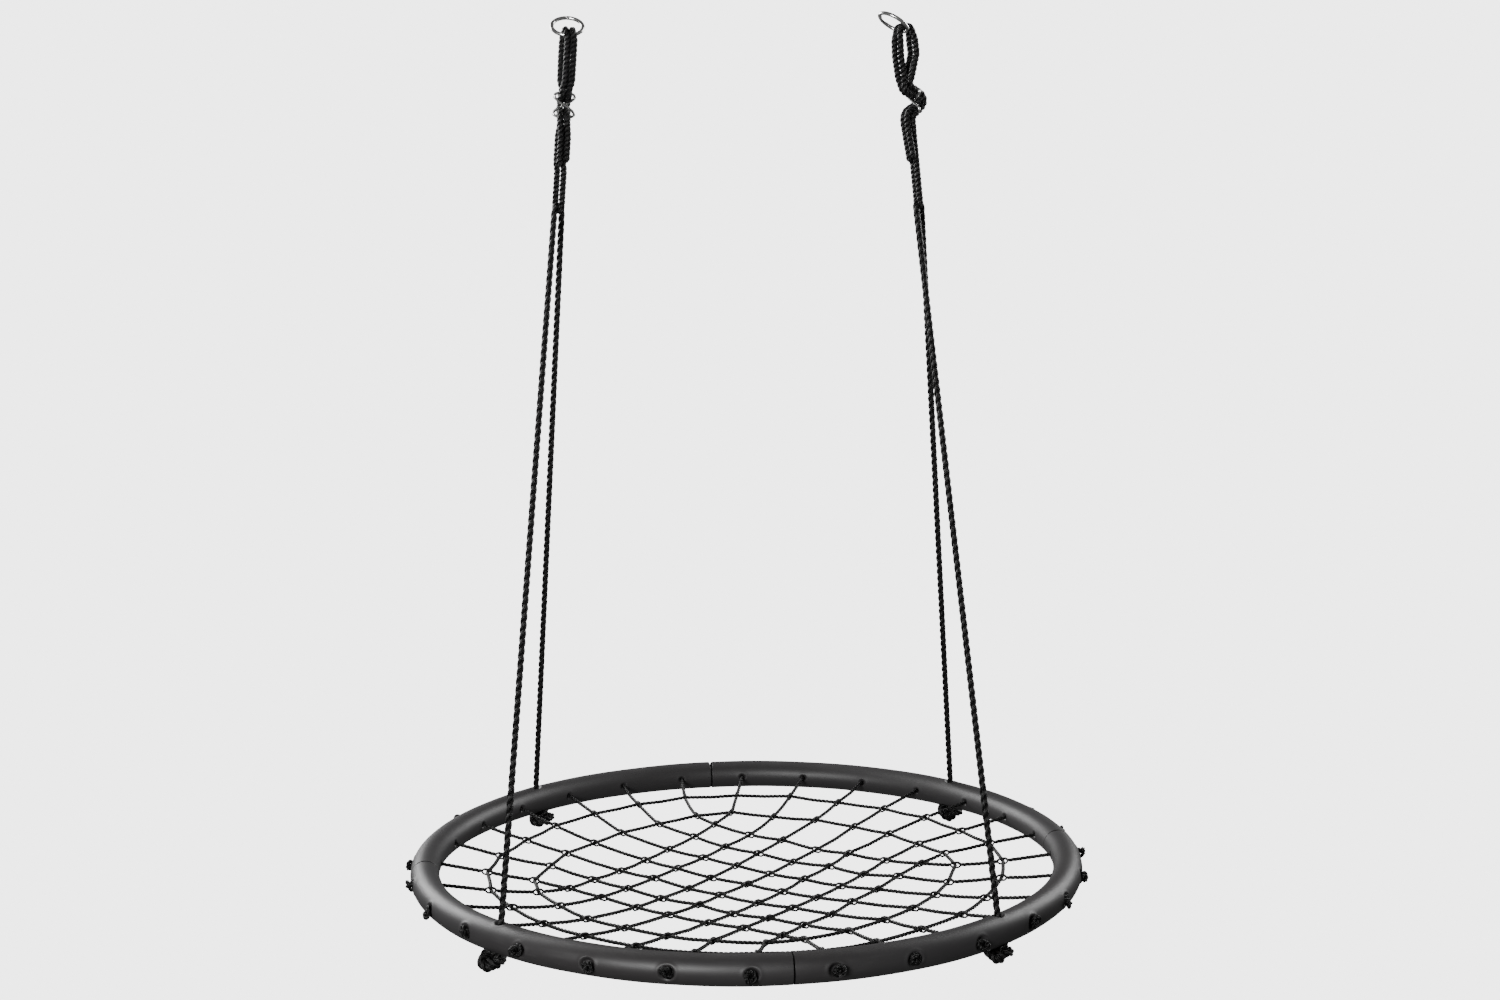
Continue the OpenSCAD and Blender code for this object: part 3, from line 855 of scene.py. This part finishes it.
# ---------------------------------------------------------------- foam sleeves
def foam_radius(theta, phi):
    """Radius of the foam skin at the angle theta round the seat and phi round the tube."""
    r = np.full(np.broadcast(theta, phi).shape, FOAM_R)
    run = np.radians(theta) * RING_R
    r += 0.16 * np.sin(run / 57 + 2 * np.cos(phi)) + 0.10 * np.sin(run / 23 + 1.7 * np.sin(phi))

    def hole(at_theta, at_phi, depth, flat, reach, rim):
        """A dimple, flat out to the radius flat and gone at reach, with a low rim pushed up round it."""
        du = (theta - at_theta + 180) % 360 - 180
        du = np.radians(du) * (RING_R + FOAM_R * math.cos(at_phi))
        dv = ((phi - at_phi + math.pi) % (2 * math.pi) - math.pi) * FOAM_R
        q = np.hypot(du, dv)
        w = 1 - smooth((q - flat) / (reach - flat))
        lip = np.exp(-((q - reach - 1.2) / 2.6) ** 2)
        return rim * lip - depth * w

    # where each net rope comes out under its knot, and where it leaves inwards
    for i in range(1, HOLES + 1):
        vary = math.sin(2.3 * i)
        r = r + hole(HOLE_STEP * i, 0.0, 5.1, 7.0, 11.4 + 0.5 * vary, 0.6 + 0.15 * vary)
        r = r + hole(HOLE_STEP * i, math.pi, 3.6, 2.6, 5.8, 0.25)
    # where each main rope goes in, and where its stopper knot presses from below
    for k in range(4):
        r = r + hole(45 + 90 * k, math.pi / 2, 5.0, 4.9, 8.4, 0.35)
        r = r + hole(45 + 90 * k, -math.pi / 2, 2.2, 8.0, 18.0, 0.3)
    return r


# at each seam: how far the foam has drawn back on top, and how round its edges are
GAP_AT_TOP = (0.6, 3.4, 1.4, 0.5)
ROUND = (1.6, 2.0, 2.2, 1.3)
# half the gap all round a seam, and the power that keeps the gap near the sleeve's ends
SEAM_GAP, NEAR_END = 0.25, 30


def sleeve(k):
    """One quarter: an outer skin with rounded ends, closed inwards onto the steel tube."""
    around = 112
    phi = 2 * math.pi * np.arange(around) / around
    first = SEAM + 90 * k
    span = SLEEVE_RUN
    edge = np.array([0, 0.12, 0.3, 0.55, 0.9, 1.3, 1.8, 2.5, 3.5, 4.8])
    s = np.r_[edge, np.arange(6.5, span - 6.5, 1.9), span - edge[::-1]]
    rows = []
    widths = (GAP_AT_TOP[k], GAP_AT_TOP[(k + 1) % 4])
    rounds = (ROUND[k], ROUND[(k + 1) % 4])
    wave = np.clip(np.sin(phi), 0, 1) ** 5
    for x in s:
        start = SEAM_GAP + 0.5 * widths[0] * wave
        stop = SEAM_GAP + 0.5 * widths[1] * wave
        at = x + start * (1 - x / span) ** NEAR_END - stop * (x / span) ** NEAR_END
        theta = first + np.degrees(at / RING_R)
        r = foam_radius(theta, phi)
        for near, size in ((x, rounds[0]), (span - x, rounds[1])):
            if near < size:
                r = r - size * (1 - math.sqrt(max(0.0, 1 - (1 - near / size) ** 2)))
        t = np.radians(theta)
        rows.append(np.stack([(RING_R + r * np.cos(phi)) * np.cos(t),
                              (RING_R + r * np.cos(phi)) * np.sin(t), r * np.sin(phi)], 1))
    outer = np.array(rows)
    inner = []
    for x in np.r_[0, np.arange(10, span - 10, 12), span]:
        at = x + SEAM_GAP * (1 - x / span) ** NEAR_END - SEAM_GAP * (x / span) ** NEAR_END
        t = math.radians(first) + at / RING_R
        inner.append(np.stack([(RING_R + BORE_R * np.cos(phi)) * math.cos(t),
                               (RING_R + BORE_R * np.cos(phi)) * math.sin(t), BORE_R * np.sin(phi)], 1))
    inner = np.array(inner)
    body = Mesh()
    v = np.arange(around) / around
    body.grid(outer + SEAT, s, v)
    body.grid(inner[::-1] + SEAT, np.linspace(0, span, len(inner)), v)
    body.grid(np.array([inner[0], outer[0]]) + SEAT, np.array([0.0, 1.0]), v)
    body.grid(np.array([outer[-1], inner[-1]]) + SEAT, np.array([0.0, 1.0]), v)
    obj = weld(body.make(f"foam_sleeve_{k + 1}_skin"))
    finish_with(obj, "foam")
    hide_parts(f"foam_sleeve_{k + 1}")
    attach(obj, "seat")


for k in range(4):
    sleeve(k)


# ---------------------------------------------------------------- metal fittings
def wire(name, path, d, closed, start, sides=24):
    t, u, v = carried_frames(path, start, closed)
    ang = 2 * math.pi * np.arange(sides) / sides
    rings = path[:, None] + d / 2 * (u[:, None] * np.cos(ang)[None, :, None]
                                     + v[:, None] * np.sin(ang)[None, :, None])
    body = Mesh()
    s = lengths(path, closed)[:len(path)]
    if not closed:
        # a cut face with a small chamfer at each end
        tip = [path[0] + 0.86 * (rings[0] - path[0]) - 0.06 * d * t[0],
               path[-1] + 0.86 * (rings[-1] - path[-1]) + 0.06 * d * t[-1]]
        rings = np.concatenate([tip[0][None], rings, tip[1][None]])
        s = np.r_[s[0] - 0.1, s, s[-1] + 0.1]
    body.grid(rings, s, np.arange(sides) / sides, closed_rows=closed)
    if not closed:
        body.cap(rings[0], rings[0].mean(0), 0.0, False)
        body.cap(rings[-1], rings[-1].mean(0), s[-1], True)
    obj = weld(body.make(name))
    finish_with(obj, "wire")
    return obj


for s in (-1, 1):
    name = SIDE[s]
    r = HANG_RING_D / 2 - HANG_WIRE_D / 2
    # a gap of 1 mm is left between the ring's two ends
    gap = 0.5 / r
    a = np.linspace(math.pi / 2 + gap, math.pi / 2 - gap + 2 * math.pi, 180)
    ring = np.stack([r * np.cos(a), r * np.sin(a), 0 * a], 1)
    ring = ring + [0, r, 0]
    lift = math.radians(90 - HANG_LEAN)
    ring = ring @ np.array(Matrix.Rotation(lift, 3, "X")).T
    ring = turned(ring, RING_TURN[s]) + [s * HANG_SPACING / 2, 0, 0]
    obj = wire(f"hang_ring_{name}_wire", ring, HANG_WIRE_D, False, (0, 0, 1))
    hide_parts("hang_ring_" + name)
    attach(obj, "hang_rings")
    # the adjuster is a figure eight, and its wire crosses itself in the middle
    a = 2 * math.pi * np.arange(240) / 240
    reach, side = ADJ_H / 2 - ADJ_WIRE_D / 2, ADJ_W / 2 - ADJ_WIRE_D / 2
    over = ADJ_WIRE_D / 2 + 0.1
    eight = np.stack([side * np.sin(2 * a), over * np.cos(a) + ADJ_Y, reach * np.sin(a)], 1)
    eight = to_side(s, turned(eight, TURN[s]) - [0, 0, along(ADJ_DROP)])
    obj = wire(f"adjuster_{name}_wire", eight, ADJ_WIRE_D, True, (0, 1, 0))
    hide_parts("adjuster_" + name)
    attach(obj, "adjusters")

# the CAD pieces that still show are the steel ones inside the foam
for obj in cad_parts.values():
    if not obj.hide_render:
        for slot in obj.material_slots:
            slot.material = mats["tube"]

# ---------------------------------------------------------------- floor and light
# the floor and the world glow by BACKDROP for the camera, and the world lights the part by FILL alone
FLOOR_Z = -1.78
BACKDROP = 4.0
FILL = 0.13
bpy.ops.mesh.primitive_circle_add(vertices=96, radius=30, fill_type="NGON", location=(0, 0, FLOOR_Z))
floor = bpy.context.object
floor.name = "floor"
m, tree, bsdf = material("floor")
bsdf.inputs["Base Color"].default_value = (0, 0, 0, 1)
bsdf.inputs["Specular IOR Level"].default_value = 0
bsdf.inputs["Roughness"].default_value = 0.9
bsdf.inputs["Emission Color"].default_value = (1, 1, 1, 1)
bsdf.inputs["Emission Strength"].default_value = BACKDROP
floor.data.materials.append(m)

for ray in ("diffuse", "glossy", "transmission"):
    setattr(floor, "visible_" + ray, False)

world = bpy.data.worlds.new("studio")
bpy.context.scene.world = world
world.use_nodes = True
tree = world.node_tree
tree.nodes["Background"].inputs[0].default_value = (1, 1, 1, 1)
seen = node(tree, "ShaderNodeLightPath").outputs["Is Camera Ray"]
glow = maths(tree, "MULTIPLY_ADD", seen, BACKDROP - FILL, FILL)
tree.links.new(glow, tree.nodes["Background"].inputs[1])


def softbox(name, location, target, size, power):
    data = bpy.data.lights.new(name, "AREA")
    data.shape = "RECTANGLE"
    data.size, data.size_y = size
    data.energy = power
    light = bpy.data.objects.new(name, data)
    light.location = location
    direction = Vector(target) - Vector(location)
    light.rotation_euler = direction.to_track_quat("-Z", "Y").to_euler()
    bpy.context.scene.collection.objects.link(light)


softbox("key", (-1.7, -3.7, 0.2), (0, 0, -1.0), (1.5, 1.0), 180)
softbox("left", (-2.4, 2.2, 0.5), (0, 0, -1.1), (1.8, 1.8), 150)
softbox("right", (2.6, 2.0, 0.6), (0, 0, -1.1), (1.8, 1.8), 90)
